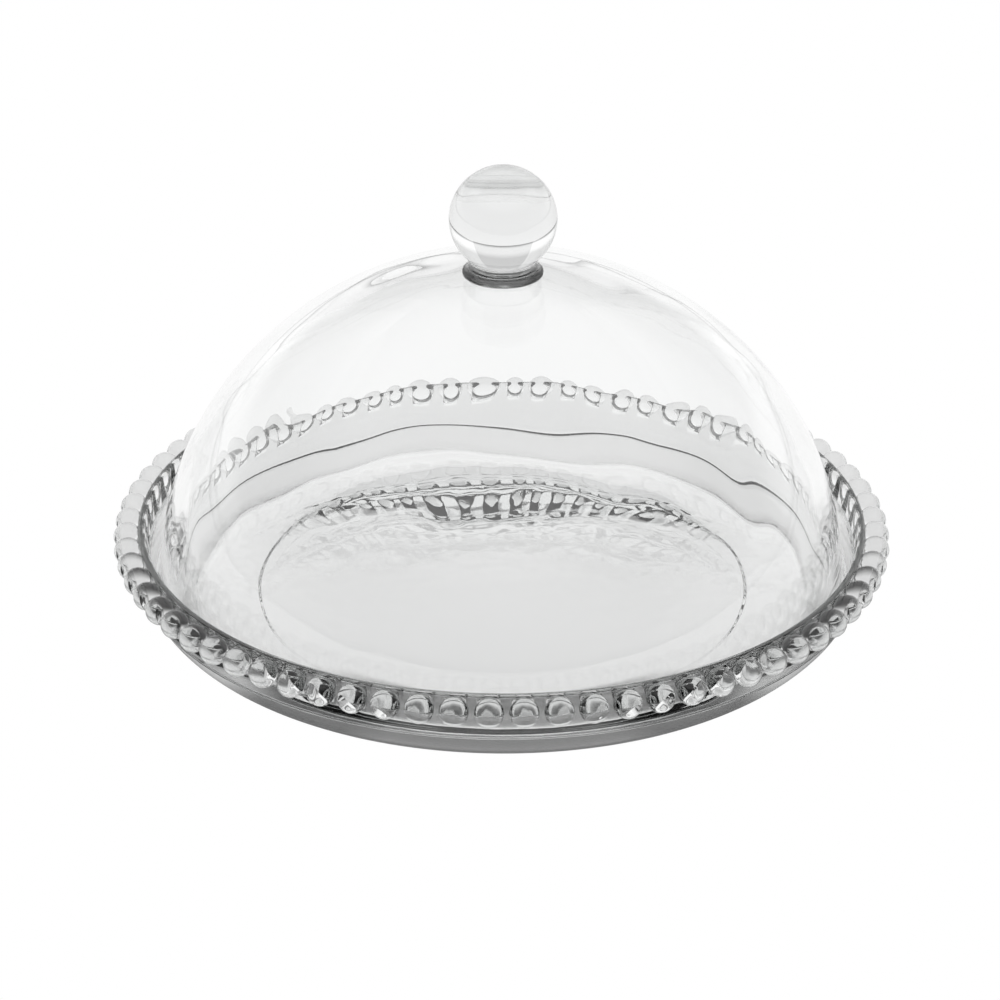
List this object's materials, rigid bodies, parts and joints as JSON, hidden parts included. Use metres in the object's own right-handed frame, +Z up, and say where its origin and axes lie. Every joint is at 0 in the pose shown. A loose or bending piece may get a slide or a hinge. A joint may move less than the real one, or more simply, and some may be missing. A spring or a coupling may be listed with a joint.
{
  "type": "cheese dome",
  "caption": "Round clear-glass cheese dome: a shallow pressed plate with a beaded rim, covered by a lift-off blown dome with a solid ball knob.",
  "frame": {"origin": "centre of the plate's foot, on the surface that it stands on", "axes": "+Z up through the knob; the object is round about Z, and a gap between two beads lies on +X"},
  "size_m": [0.2592, 0.2592, 0.1539],
  "materials": {
    "pressed_glass": "fire-polished",
    "blown_glass": "fire-polished",
    "knob_glass": "polished"
  },
  "bodies": {
    "plate": {"plate": "pressed_glass"},
    "dome": {"dome": "blown_glass", "knob": "knob_glass"}
  },
  "joints": [
    {"name": "dome_lift", "type": "slide", "parent": "plate", "child": "dome", "axis": [0, 0, 1], "range_m": [0, 0.2]}
  ]
}
